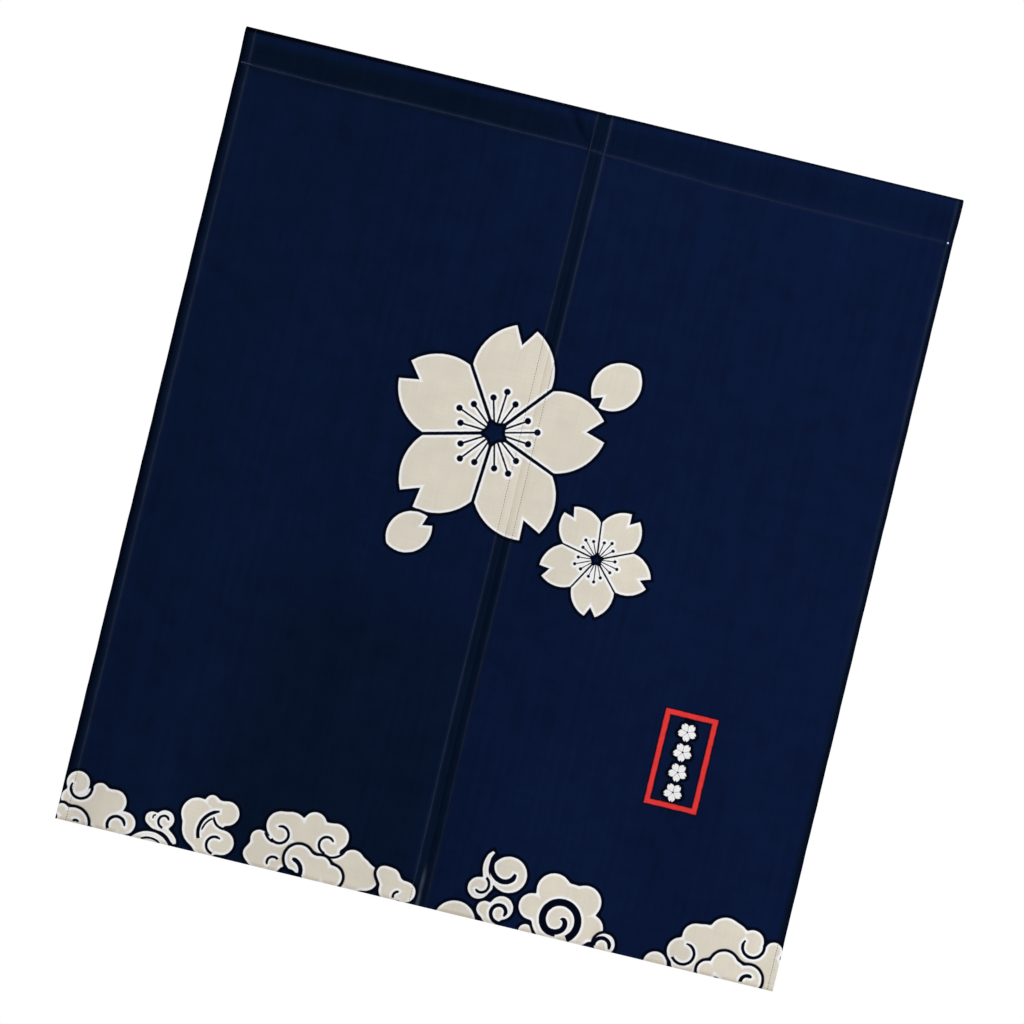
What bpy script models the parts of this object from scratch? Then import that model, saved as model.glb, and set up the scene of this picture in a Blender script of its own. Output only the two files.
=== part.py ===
"""Noren curtain: two hemmed cloths, parted by a slit, that hang from two flattened rod pockets.

Metres, +Z up. The origin is the middle of the top edge. X runs along the rod, and the printed
face looks towards -Y.
"""

import math

import bmesh
import bpy
from mathutils import Vector

# The whole curtain
WIDTH = 0.814
DROP = 0.900
LEFT_EDGE = -WIDTH / 2
RIGHT_EDGE = WIDTH / 2

# The cloth, and its hems, which are turned twice to the back
CLOTH_THICKNESS = 0.0010
HEM_THICKNESS = 0.0020
POCKET_HEM_THICKNESS = 0.0018
HEM_STEP = 0.0006
LEFT_SIDE_HEM = 0.0125
RIGHT_SIDE_HEM = 0.0065
SLIT_HEM = 0.0095

# The rod pocket. Its hand-guided stitch line falls from the left edge to the right edge.
STITCH_LINE_COLUMNS = ("x", "drop")
STITCH_LINE = (
    (LEFT_EDGE, 0.0384),
    (-0.300, 0.0402),
    (-0.200, 0.0394),
    (-0.030, 0.0410),
    (0.020, 0.0433),
    (0.095, 0.0460),
    (0.140, 0.0480),
    (0.236, 0.0492),
    (RIGHT_EDGE, 0.0490),
)
POCKET_DEPTH = 0.016
POCKET_RIPPLE = 0.0007
POCKET_RIPPLE_PITCH = WIDTH / 3
SEAM_ALLOWANCE = 0.003

# The slit leans to the right and opens towards the hem
SLIT_X_AT_TOP = 0.0007
SLIT_X_AT_HEM = 0.0044
SLIT_GAP_AT_TOP = 0.0006
SLIT_GAP_AT_HEM = 0.0032
SLIT_OPENING_POWER = 5.0

# Clearance between pieces that meet
CLEARANCE = 0.0004

# Fineness of the mesh
CLOTH_COLUMNS = 20
PANEL_ROWS = 24
POCKET_ARC_STEPS = 8
POCKET_TAPER_STEPS = 5

# Soft upright folds, one a row. Each runs from its x at the heading to its x at the hem, and
# deepens as it falls. A positive depth lies towards the back.
FOLD_COLUMNS = ("x_at_top", "x_at_hem", "half_width", "depth_at_hem")
LEFT_FOLDS = (
    (-0.395, -0.402, 0.034, 0.0060),
    (-0.318, -0.336, 0.050, -0.0075),
    (-0.214, -0.222, 0.062, 0.0115),
    (-0.112, -0.122, 0.040, -0.0020),
    (-0.020, -0.006, 0.060, -0.0120),
)
RIGHT_FOLDS = (
    (0.010, 0.016, 0.044, 0.0070),
    (0.104, 0.112, 0.058, -0.0080),
    (0.222, 0.214, 0.050, 0.0060),
    (0.318, 0.326, 0.046, -0.0065),
    (0.398, 0.404, 0.034, 0.0050),
)
FOLD_GROWTH = 1.25

# Colours, linear
NAVY_CLOTH = (0.0031, 0.0075, 0.0305, 1.0)
NAVY_HEADING = (0.0028, 0.0068, 0.0240, 1.0)
CLOTH_ROUGHNESS = 0.85


def mix(start, end, share):
    """The value that lies this share of the way from start to end."""
    return start + (end - start) * share


def pocket_drop(x):
    """How far the pocket's stitch line lies below the top edge."""
    points = [dict(zip(STITCH_LINE_COLUMNS, row)) for row in STITCH_LINE]
    for near, far in zip(points, points[1:]):
        if x <= far["x"]:
            break
    share = min(1.0, max(0.0, (x - near["x"]) / (far["x"] - near["x"])))
    return mix(near["drop"], far["drop"], share * share * (3 - 2 * share))


def slit_edge(z, side):
    """The x of a slit edge at this height. side is -1 for the left cloth and 1 for the right."""
    fallen = -z / DROP
    opened = mix(SLIT_GAP_AT_TOP, SLIT_GAP_AT_HEM, fallen**SLIT_OPENING_POWER)
    return mix(SLIT_X_AT_TOP, SLIT_X_AT_HEM, fallen) + side * opened / 2


def fold_depth(folds, x, z):
    """How far the cloth's face lies behind its flat plane."""
    fallen = max(0.0, (-z - pocket_drop(x)) / (DROP - pocket_drop(x)))
    depth = 0.0
    for row in folds:
        fold = dict(zip(FOLD_COLUMNS, row))
        middle = mix(fold["x_at_top"], fold["x_at_hem"], fallen)
        away = (x - middle) / fold["half_width"]
        depth += fold["depth_at_hem"] * math.exp(-(away**2))
    return depth * fallen**FOLD_GROWTH


def clear_scene():
    """Empties the file of objects."""
    for thing in list(bpy.data.objects):
        bpy.data.objects.remove(thing, do_unlink=True)


def cloth_material(name, colour):
    """A matt woven cotton in one colour."""
    material = bpy.data.materials.new(name)
    material.use_nodes = True
    shader = material.node_tree.nodes["Principled BSDF"]
    shader.inputs["Base Color"].default_value = colour
    shader.inputs["Roughness"].default_value = CLOTH_ROUGHNESS
    shader.inputs["Metallic"].default_value = 0.0
    return material


def add_object(name, bm, material):
    """Turns a bmesh into a smooth object that keeps its sharp edges."""
    mesh = bpy.data.meshes.new(name)
    bm.to_mesh(mesh)
    bm.free()
    mesh.materials.append(material)
    mesh.shade_smooth()
    mesh.set_sharp_from_angle(angle=math.radians(40))
    piece = bpy.data.objects.new(name, mesh)
    bpy.context.scene.collection.objects.link(piece)
    return piece


def column_shares(hems):
    """The cloth's columns as shares of its width, with a pair at the inner edge of each hem."""
    step = HEM_STEP / (WIDTH / 2)
    first, last = (hem / (WIDTH / 2) for hem in hems)
    inner = [
        mix(first + step, 1 - last - step, i / CLOTH_COLUMNS)
        for i in range(CLOTH_COLUMNS + 1)
    ]
    return [0.0, first, *inner, 1 - last, 1.0]


def in_hem(column, shares):
    """Whether this column lies in the hem at either side of the cloth."""
    return column < 2 or column >= len(shares) - 2


def make_panel(name, side, hems, folds, material):
    """One hanging cloth: its printed face as a sheet, thickened to the back, more so at its hems."""
    outer = LEFT_EDGE if side < 0 else RIGHT_EDGE
    shares = column_shares(hems)
    bm = bmesh.new()
    rows = []
    hem_points = []
    for row in range(PANEL_ROWS + 1):
        fallen = row / PANEL_ROWS
        ends = sorted((outer, slit_edge(-DROP * fallen, side)))
        points = []
        for column, share in enumerate(shares):
            x = mix(*ends, share)
            z = mix(-pocket_drop(x) - SEAM_ALLOWANCE - CLEARANCE, -DROP, fallen)
            point = bm.verts.new((x, fold_depth(folds, x, z) - CLOTH_THICKNESS, z))
            points.append(point)
            if in_hem(column, shares):
                hem_points.append(point)
        rows.append(points)
    for upper, lower in zip(rows, rows[1:]):
        for i in range(len(shares) - 1):
            bm.faces.new((upper[i], lower[i], lower[i + 1], upper[i + 1]))
    bm.verts.index_update()
    hem_indices = [point.index for point in hem_points]
    piece = add_object(name, bm, material)
    hem = piece.vertex_groups.new(name="hem")
    hem.add(hem_indices, 1.0, "REPLACE")
    body = piece.modifiers.new("cloth body", "SOLIDIFY")
    body.thickness = HEM_THICKNESS
    body.offset = -1.0
    body.use_even_offset = True
    body.vertex_group = hem.name
    body.thickness_vertex_group = CLOTH_THICKNESS / HEM_THICKNESS
    return piece


def pocket_radius(x):
    """Half the pocket's depth, a little uneven along the rod."""
    return POCKET_DEPTH / 2 - POCKET_RIPPLE * math.sin(2 * math.pi * x / POCKET_RIPPLE_PITCH) ** 2


def pocket_wall(x, inset, foot):
    """The half section of the pocket at x, from its top down to its stitches, as half depths and z.

    inset is how far it lies inside the pocket's outer face, and foot is its half depth at the
    stitches.
    """
    radius = pocket_radius(x)
    reach = radius - inset
    wall = []
    for i in range(POCKET_ARC_STEPS // 2 + 1):
        turn = math.pi / 2 * i / (POCKET_ARC_STEPS // 2)
        wall.append((reach * math.sin(turn), -radius + reach * math.cos(turn)))
    for i in range(1, POCKET_TAPER_STEPS + 1):
        share = i / POCKET_TAPER_STEPS
        narrowing = (1 + math.cos(math.pi * share)) / 2
        height = mix(-radius, min(inset, CLOTH_THICKNESS) - pocket_drop(x), share)
        wall.append((mix(foot, reach, narrowing), height))
    return wall


def outer_ring(x):
    """The pocket's outside at x, down the front and up the back, round the sewn allowance."""
    wall = pocket_wall(x, 0.0, CLOTH_THICKNESS)
    wall.append((CLOTH_THICKNESS, -pocket_drop(x) - SEAM_ALLOWANCE))
    front = [Vector((x, -half, z)) for half, z in wall]
    back = [Vector((x, half, z)) for half, z in wall[:0:-1]]
    return front + back


def inner_ring(x, thickness):
    """The pocket's inside at x, which closes to a line at the stitches."""
    wall = pocket_wall(x, thickness, 0.0)
    front = [Vector((x, -half, z)) for half, z in wall]
    back = [Vector((x, half, z)) for half, z in wall[-2:0:-1]]
    return front + back


def skin(bm, rings):
    """Joins a run of rings with faces, and returns the points of its first and last ring."""
    made = [[bm.verts.new(point) for point in ring] for ring in rings]
    for near, far in zip(made, made[1:]):
        for i in range(len(near)):
            after = (i + 1) % len(near)
            bm.faces.new((near[i], near[after], far[after], far[i]))
    return made[0], made[-1]


def close_end(bm, outside, inside):
    """Fills the cut edge of the cloth between the two rings at one end of a pocket."""
    stitches = len(inside) // 2
    for way in (1, -1):
        for i in range(stitches):
            near, far = way * i, way * (i + 1)
            bm.faces.new((outside[near], outside[far], inside[far], inside[near]))
    allowance = outside[stitches : len(outside) - stitches + 1]
    bm.faces.new((*allowance, inside[stitches]))


def make_pocket(name, start, end, hems, material):
    """One flattened tube of cloth, open at both ends, from start to end along X."""
    shares = column_shares(hems)
    outer_rings = []
    inner_rings = []
    for column, share in enumerate(shares):
        x = mix(start, end, share)
        thickness = POCKET_HEM_THICKNESS if in_hem(column, shares) else CLOTH_THICKNESS
        outer_rings.append(outer_ring(x))
        inner_rings.append(inner_ring(x, thickness))
    bm = bmesh.new()
    outside = skin(bm, outer_rings)
    inside = skin(bm, inner_rings)
    for outer_end, inner_end in zip(outside, inside):
        close_end(bm, outer_end, inner_end)
    bmesh.ops.recalc_face_normals(bm, faces=bm.faces)
    return add_object(name, bm, material)


def make_noren():
    """The two cloths and the two pockets that they hang from."""
    cloth = cloth_material("navy cloth", NAVY_CLOTH)
    heading = cloth_material("navy heading", NAVY_HEADING)
    left_hems = (LEFT_SIDE_HEM, SLIT_HEM)
    right_hems = (SLIT_HEM, RIGHT_SIDE_HEM)
    butt = CLEARANCE / 2
    make_panel("panel_left", -1, left_hems, LEFT_FOLDS, cloth)
    make_panel("panel_right", 1, right_hems, RIGHT_FOLDS, cloth)
    make_pocket("rod_pocket_left", LEFT_EDGE, SLIT_X_AT_TOP - butt, left_hems, heading)
    make_pocket("rod_pocket_right", SLIT_X_AT_TOP + butt, RIGHT_EDGE, right_hems, heading)


clear_scene()
make_noren()
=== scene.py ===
import math

import bpy
import numpy as np
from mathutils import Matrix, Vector, noise


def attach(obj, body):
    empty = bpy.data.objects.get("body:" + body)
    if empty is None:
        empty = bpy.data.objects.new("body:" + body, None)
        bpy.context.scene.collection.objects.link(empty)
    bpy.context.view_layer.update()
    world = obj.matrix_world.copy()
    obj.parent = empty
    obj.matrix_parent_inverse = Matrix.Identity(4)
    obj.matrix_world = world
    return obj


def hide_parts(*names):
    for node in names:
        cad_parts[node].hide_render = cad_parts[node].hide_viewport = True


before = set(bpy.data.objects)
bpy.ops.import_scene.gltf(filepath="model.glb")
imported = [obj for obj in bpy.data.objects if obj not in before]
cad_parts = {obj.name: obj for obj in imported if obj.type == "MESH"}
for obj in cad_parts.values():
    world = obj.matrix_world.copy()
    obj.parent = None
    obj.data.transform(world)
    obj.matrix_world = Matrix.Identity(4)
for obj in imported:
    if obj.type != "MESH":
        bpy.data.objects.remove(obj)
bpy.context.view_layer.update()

# The room that the noren is photographed in: a white surround, a pale floor two metres below the
# rod, and large soft lamps. The strongest lamp stands up to the right, as the cloth is a little
# brighter there, and a weaker one behind lights the backs of the cloths.
WIDTH = 0.814
DROP = 0.900
SURROUND_LIGHT = 0.315
FLOOR_HEIGHT = -2.0
FLOOR_RADIUS = 3.0
FLOOR_FADE = 1.1
FLOOR_FADE_END = 0.3
FLOOR_COLOUR = (0.86, 0.86, 0.85, 1.0)
MIDDLE = Vector((0.0, 0.0, -DROP / 2))
LAMP_COLUMNS = ("name", "place", "width", "power")
LAMPS = (
    ("key lamp", (2.1, -3.0, 1.35), 1.8, 130.0),
    ("fill lamp", (-2.4, -3.2, 0.2), 2.4, 22.0),
    ("back lamp", (-1.4, 3.0, 1.0), 2.2, 90.0),
)

bpy.context.scene.view_settings.view_transform = "Standard"
for row in LAMPS:
    lamp = dict(zip(LAMP_COLUMNS, row))
    data = bpy.data.lights.new(lamp["name"], "AREA")
    data.size = lamp["width"]
    data.energy = lamp["power"]
    light = bpy.data.objects.new(lamp["name"], data)
    light.location = lamp["place"]
    light.rotation_euler = (MIDDLE - light.location).to_track_quat("-Z", "Y").to_euler()
    bpy.context.scene.collection.objects.link(light)


class Dye:
    """One value in a tree of nodes. Plain arithmetic on it adds the nodes that work it out."""

    def __init__(self, tree, socket=None):
        self.tree = tree
        self.socket = socket

    def node(self, kind, settings=None, inputs=None, output=0):
        """Adds any node: its type, its settings, and the values or links of its sockets."""
        made = self.tree.nodes.new(kind)
        for name, value in (settings or {}).items():
            setattr(made, name, value)
        for name, value in (inputs or {}).items():
            if isinstance(value, Dye):
                self.tree.links.new(value.socket, made.inputs[name])
            else:
                made.inputs[name].default_value = value
        return Dye(self.tree, made.outputs[output] if len(made.outputs) else None)

    def maths(self, operation, *values, clamp=False):
        settings = {"operation": operation, "use_clamp": clamp}
        return self.node("ShaderNodeMath", settings, dict(enumerate(values)))

    def maths_of(self, operation):
        """A function of this one value, such as its sine."""
        return self.maths(operation, self)

    def __add__(self, other):
        return self.maths("ADD", self, other)

    __radd__ = __add__

    def __sub__(self, other):
        return self.maths("SUBTRACT", self, other)

    def __rsub__(self, other):
        return self.maths("SUBTRACT", other, self)

    def __mul__(self, other):
        return self.maths("MULTIPLY", self, other)

    __rmul__ = __mul__

    def __truediv__(self, other):
        return self.maths("DIVIDE", self, other)

    def __neg__(self):
        return self.maths("MULTIPLY", self, -1.0)

    def __abs__(self):
        return self.maths("ABSOLUTE", self)

    def least(self, other):
        return self.maths("MINIMUM", self, other)

    def most(self, other):
        return self.maths("MAXIMUM", self, other)

    def blended(self, other, reach):
        """The lesser of two distances, rounded off where they meet."""
        return self.maths("SMOOTH_MIN", self, other, reach)

    def inside(self, softness):
        """1 where this distance is below zero, 0 where it is above, soft over this width."""
        return self.maths("MULTIPLY_ADD", self, -1.0 / softness, 0.5, clamp=True)

    def eased(self, start, end):
        """0 where this value is at the start, 1 where it is at the end, and gentle between."""
        settings = {"interpolation_type": "SMOOTHSTEP"}
        return self.node("ShaderNodeMapRange", settings, {0: self, 1: start, 2: end})

    def toward(self, other, share):
        """This colour mixed with another one."""
        sockets = {0: share, 6: self, 7: other}
        return self.node("ShaderNodeMix", {"data_type": "RGBA"}, sockets, output=2)

    def scaled(self, amount):
        """This colour or vector made stronger or weaker all over."""
        return self.node("ShaderNodeVectorMath", {"operation": "SCALE"}, {0: self, 3: amount})

    def stretched(self, along):
        """This vector with each axis multiplied by its own number."""
        return self.node("ShaderNodeVectorMath", {"operation": "MULTIPLY"}, {0: self, 1: along})

    def parts(self):
        """The three numbers of this vector."""
        made = self.node("ShaderNodeSeparateXYZ", None, {0: self})
        return [Dye(self.tree, socket) for socket in made.socket.node.outputs]

    def distance(self, point):
        """How far this place is from a point."""
        settings = {"operation": "DISTANCE"}
        return self.node("ShaderNodeVectorMath", settings, {0: self, 1: point}, output=1)

    def cloudy(self, scale, detail=2.0):
        """Noise about zero, read at this place, of about -0.5 to 0.5."""
        sockets = {"Vector": self, "Scale": scale, "Detail": detail}
        return self.node("ShaderNodeTexNoise", None, sockets) - 0.5


world = bpy.data.worlds.new("white surround")
bpy.context.scene.world = world
world.use_nodes = True
world.node_tree.nodes.clear()
sky = Dye(world.node_tree)
seen = sky.node("ShaderNodeLightPath", output=0)
strength = SURROUND_LIGHT + seen * (1.0 - SURROUND_LIGHT)
white = sky.node("ShaderNodeBackground", None, {"Color": (1, 1, 1, 1), "Strength": strength})
sky.node("ShaderNodeOutputWorld", None, {"Surface": white})

bpy.ops.object.select_all(action="DESELECT")
bpy.ops.mesh.primitive_circle_add(
    vertices=96, radius=FLOOR_RADIUS, fill_type="NGON", location=(0, 0, FLOOR_HEIGHT)
)
floor = bpy.context.object
floor.name = "floor"
pale = bpy.data.materials.new("pale floor")
pale.use_nodes = True
pale.node_tree.nodes.clear()
ground = Dye(pale.node_tree)
spot = ground.node("ShaderNodeTexCoord", output=3)
fading = (FLOOR_RADIUS - spot.distance((0, 0, 0))) / FLOOR_FADE
matt = ground.node("ShaderNodeBsdfDiffuse", None, {"Color": FLOOR_COLOUR})
clear = ground.node("ShaderNodeBsdfTransparent")
kept = fading.maths("SMOOTH_MIN", fading, 1.0, FLOOR_FADE_END, clamp=True)
faded = ground.node("ShaderNodeMixShader", None, {0: kept, 1: clear, 2: matt})
ground.node("ShaderNodeOutputMaterial", None, {"Surface": faded})
floor.data.materials.append(pale)

# The camera looks square at the cloth and is rolled, so that the noren leans to the right as it
# does in the photograph. The picture is taken to be 1024 pixels wide.
LEAN = math.radians(13.58)
LENS_LENGTH = 100.0
SENSOR = 36.0
CAMERA_AWAY = 3.15
PICTURE_WIDTH = 1024
CENTRE_PIXEL = (509.5, 509.0)

picture_up = Vector((-math.sin(LEAN), 0.0, math.cos(LEAN)))
picture_right = Vector((math.cos(LEAN), 0.0, math.sin(LEAN)))
pixel = CAMERA_AWAY * SENSOR / LENS_LENGTH / PICTURE_WIDTH
aside = (PICTURE_WIDTH / 2 - CENTRE_PIXEL[0]) * pixel
below = (PICTURE_WIDTH / 2 - CENTRE_PIXEL[1]) * pixel
lens = bpy.data.cameras.new("camera")
lens.lens = LENS_LENGTH
lens.sensor_width = SENSOR
camera = bpy.data.objects.new("camera", lens)
camera.location = (
    MIDDLE + aside * picture_right - below * picture_up - Vector((0, CAMERA_AWAY, 0))
)
camera.rotation_euler = (math.pi / 2, -LEAN, 0)
bpy.context.scene.collection.objects.link(camera)
bpy.context.scene.camera = camera

# The two cloths. Each is one length of cotton, with a narrow hem turned twice to the back down
# each side, and its top turned over to the back and sewn down, which makes its half of the rod
# pocket. The slit runs between them from the pocket's top edge to the bottom.
CLOTH_THICKNESS = 0.0006
HEM_THICKNESS = 0.0018
HEM_STEP = 0.0006
LEFT_EDGE = -WIDTH / 2
RIGHT_EDGE = WIDTH / 2
# A hem has its width, how far in its stitches lie, and how much wider it is at the bottom
HEM_COLUMNS = ("width", "stitches", "spread")
LEFT_SIDE_HEM = dict(zip(HEM_COLUMNS, (0.0133, 0.0118, 0.0)))
SLIT_HEM = dict(zip(HEM_COLUMNS, (0.0098, 0.0086, 0.12)))
RIGHT_SIDE_HEM = dict(zip(HEM_COLUMNS, (0.0079, 0.0064, 0.0)))
# The heading's stitch line: x, and how far it lies below the top edge
HEADING_LINE = (
    (LEFT_EDGE, 0.0389),
    (-0.300, 0.0407),
    (-0.200, 0.0401),
    (-0.030, 0.0416),
    (0.020, 0.0440),
    (0.095, 0.0468),
    (0.140, 0.0489),
    (0.236, 0.0502),
    (RIGHT_EDGE, 0.0500),
)
POCKET_DEPTH = 0.016
POCKET_RIPPLE = 0.0007
POCKET_RIPPLE_PITCH = WIDTH / 3
POCKET_ARC_SHARE = 0.3
SEAM_ALLOWANCE = 0.003
SEAM_BLEND = 0.012
SEAM_PLAY = 0.00005
FACE_Y = -0.001
TOP_RISE = 0.0010
TOP_TILT = 0.0010
HEM_DOWN = 0.0010
EDGE_OUT = 0.0014
HEM_FLARE = 0.0005
HEM_FLARE_GROWTH = 6
# How the hems draw in the outer edges: depth, pace down the edge, and a shift between the sides
EDGE_PUCKERS = ((0.00010, 74.0, 1.0), (0.00006, 191.0, 0.0))
# The slit runs straight down and shifts to the right over one stretch, in shares of the drop
SLIT_X = 0.0012
SLIT_SHIFT = 0.0022
SLIT_SHIFT_FROM = 0.72
SLIT_SHIFT_TO = 1.0
# The left cloth laps a little over the right one, and the end of its pocket over the other end
LAP = 0.0003
LAP_REACH = 0.014
LAP_LIFT = 0.00075
NEST_REACH = 0.006
NEST_LIFT = 0.0003
FOLD_COLUMNS = ("x_at_top", "x_at_hem", "half_width", "depth_at_hem")
LEFT_FOLDS = (
    (-0.395, -0.402, 0.034, 0.0060),
    (-0.318, -0.336, 0.050, -0.0075),
    (-0.214, -0.222, 0.062, 0.0115),
    (-0.112, -0.122, 0.040, -0.0020),
    (-0.020, -0.006, 0.060, -0.0120),
)
RIGHT_FOLDS = (
    (0.010, 0.016, 0.044, 0.0070),
    (0.104, 0.112, 0.058, -0.0080),
    (0.222, 0.214, 0.050, 0.0060),
    (0.318, 0.326, 0.046, -0.0065),
    (0.398, 0.404, 0.034, 0.0050),
)
FOLD_GROWTH = 1.25
# Creases left by packing: each runs from one point to another, with its depth and half width
CREASE_COLUMNS = ("from_x", "from_z", "to_x", "to_z", "depth", "half_width")
CREASES = (
    (-0.388, -0.268, -0.330, -0.302, 0.0026, 0.009),
    (-0.388, -0.628, -0.318, -0.682, 0.0030, 0.011),
)
HEADING_CREASES = ((-0.038, -0.004, -0.017, -0.036, 0.0046, 0.0042),)
CREASE_FADE = 3.0
# Soft humps in the cloth: their height, their size, how often they come across and down compared
# with that size, and a seed for their places
HUMP_COLUMNS = ("height", "size", "across", "down", "seed")
POCKET_HUMPS = dict(zip(HUMP_COLUMNS, (0.0007, 0.06, 1.0, 1.0, 3.0)))
SEAM_HUMPS = dict(zip(HUMP_COLUMNS, (0.00035, 0.0055, 1.0, 1.0, 7.0)))
BROAD_HUMPS = dict(zip(HUMP_COLUMNS, (0.0009, 0.075, 1.0, 0.6, 1.0)))
SMALL_HUMPS = dict(zip(HUMP_COLUMNS, (0.00022, 0.02, 1.0, 0.5, 4.0)))
HEM_HUMPS = dict(zip(HUMP_COLUMNS, (0.00022, 0.0075, 0.3, 1.0, 9.0)))
# Those at the seam fade out over this length, and the others are full this far below it
SEAM_HUMPS_FADE = 0.014
BROAD_HUMPS_FULL = 0.08
SMALL_HUMPS_FULL = 0.04
HEM_HUMPS_FULL = 0.02
HEM_HUMPS_REACH = 0.008
# The dent that the stitches make, the thinnest the mesh gets, the lift of the turned end, and how
# far below the seam the outline is kept straight
DENT_DEPTH = 0.00022
DENT_REACH = 0.0009
THINNEST = 0.0001
TURNED_LIFT = 0.0004
OUTLINE_KEPT_FROM = 0.05
# Where the mesh has rows and columns
FIELD_COLUMNS = 128
EDGE_COLUMNS = (0.0, 0.00012, 0.0004, 0.0009, 0.0022)
STITCH_COLUMNS = (-0.0016, -0.0006, 0.0, 0.0006)
ROUND_ROWS = 7
WALL_ROWS = 17
SEAM_ROWS = (0.0006, 0.0015, 0.003, 0.005, 0.0075)
FIRST_PANEL_ROW = 0.0105
PANEL_ROW = 0.004
ALLOWANCE_ROWS = (1.0, 0.9, 0.6, 0.3, 0.1)
MEAN_HEADING = 0.045
SHARP_ANGLE = math.radians(50)


def mix(start, end, share):
    """The value that lies this share of the way from start to end."""
    return start + (end - start) * share


def eased(share):
    """A share that starts and ends gently."""
    share = np.clip(share, 0.0, 1.0)
    return share * share * (3 - 2 * share)


def heading_drop(x):
    """How far the heading's stitch line lies below the top edge."""
    places, drops = np.array(HEADING_LINE).T
    i = np.clip(np.searchsorted(places, x) - 1, 0, len(places) - 2)
    share = (x - places[i]) / (places[i + 1] - places[i])
    return mix(drops[i], drops[i + 1], eased(share))


def slit_edge(z, side):
    """The x of a slit edge at this height. side is -1 for the left cloth and 1 for the right."""
    fallen = np.clip(-z / DROP, 0.0, 1.0)
    shifted = eased((fallen - SLIT_SHIFT_FROM) / (SLIT_SHIFT_TO - SLIT_SHIFT_FROM))
    return SLIT_X + SLIT_SHIFT * shifted - side * LAP


def side_edge(z, side):
    """The x of an outer edge, drawn in a little where its hem puckers."""
    draw = sum(
        depth * (1 - np.cos(z * pace + side * shift)) for depth, pace, shift in EDGE_PUCKERS
    )
    flare = HEM_FLARE * np.clip(-z / DROP, 0.0, 1.0) ** HEM_FLARE_GROWTH
    return side * (WIDTH / 2 + EDGE_OUT + flare - draw)


def fold_depth(folds, x, z):
    """How far the cloth's face lies behind its flat plane."""
    drop = heading_drop(x)
    fallen = np.clip((-z - drop) / (DROP - drop), 0.0, 1.0)
    depth = np.zeros_like(x)
    for row in folds:
        fold = dict(zip(FOLD_COLUMNS, row))
        middle = mix(fold["x_at_top"], fold["x_at_hem"], fallen)
        depth += fold["depth_at_hem"] * np.exp(-(((x - middle) / fold["half_width"]) ** 2))
    return depth * fallen**FOLD_GROWTH


def crease_depth(creases, x, z):
    """How deep the packing creases are at each place."""
    depth = np.zeros_like(x)
    for row in creases:
        crease = dict(zip(CREASE_COLUMNS, row))
        run = np.array((crease["to_x"] - crease["from_x"], crease["to_z"] - crease["from_z"]))
        length = np.hypot(*run)
        along = ((x - crease["from_x"]) * run[0] + (z - crease["from_z"]) * run[1]) / length**2
        across = ((x - crease["from_x"]) * run[1] - (z - crease["from_z"]) * run[0]) / length
        ends = eased(along * CREASE_FADE + 0.5) * eased((1 - along) * CREASE_FADE + 0.5)
        depth += crease["depth"] * ends * np.exp(-((across / crease["half_width"]) ** 2))
    return depth


def rumple(x, z, humps):
    """How far the soft humps in the cloth lift each place."""
    across = x.ravel() * humps["across"] / humps["size"]
    down = z.ravel() * humps["down"] / humps["size"]
    shares = [noise.noise((a, b, humps["seed"])) for a, b in zip(across, down)]
    return humps["height"] * np.array(shares).reshape(x.shape)


def hem_places(hem):
    """Where the mesh has columns in a hem: its rounded edge, its stitches and its inner fold."""
    sewn = [hem["stitches"] + step for step in STITCH_COLUMNS]
    middle = mix(EDGE_COLUMNS[-1], sewn[0], 0.5)
    return (*EDGE_COLUMNS, middle, *sewn, hem["width"], hem["width"] + HEM_STEP)


def cloth_columns(hems):
    """The columns of a cloth as shares of its width, and as distances in from either edge."""
    first, last = hem_places(hems[0]), hem_places(hems[1])
    rows = [(0.0, place, 0.0) for place in first]
    for i in range(1, FIELD_COLUMNS):
        share = i / FIELD_COLUMNS
        rows.append((share, first[-1] * (1 - share), last[-1] * share))
    rows += [(1.0, 0.0, place) for place in reversed(last)]
    return np.array(rows).T


def cloth_rows():
    """The rows of a cloth. They run from its turned end at the back (below -1), up the back of
    the pocket (-1 to 0), down its front (0 to 1), and down the hanging cloth (1 to 2)."""
    wall = [
        *np.linspace(0, POCKET_ARC_SHARE, ROUND_ROWS),
        *np.linspace(POCKET_ARC_SHARE, 1, WALL_ROWS)[1:],
    ]
    hanging = DROP - MEAN_HEADING
    near_seam = [place / hanging for place in SEAM_ROWS]
    below = np.linspace(FIRST_PANEL_ROW / hanging, 1, int(hanging / PANEL_ROW))
    allowance = [-1 - share for share in ALLOWANCE_ROWS]
    back = [-share for share in reversed(wall)]
    return np.array([*allowance, *back, *wall[1:], *[1 + share for share in (*near_seam, *below)]])


def cloth_edges(z, side):
    """The x of a cloth's left and right edges at each height."""
    outer, inner = side_edge(z, side), slit_edge(z, side)
    return (outer, inner) if side < 0 else (inner, outer)


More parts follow.
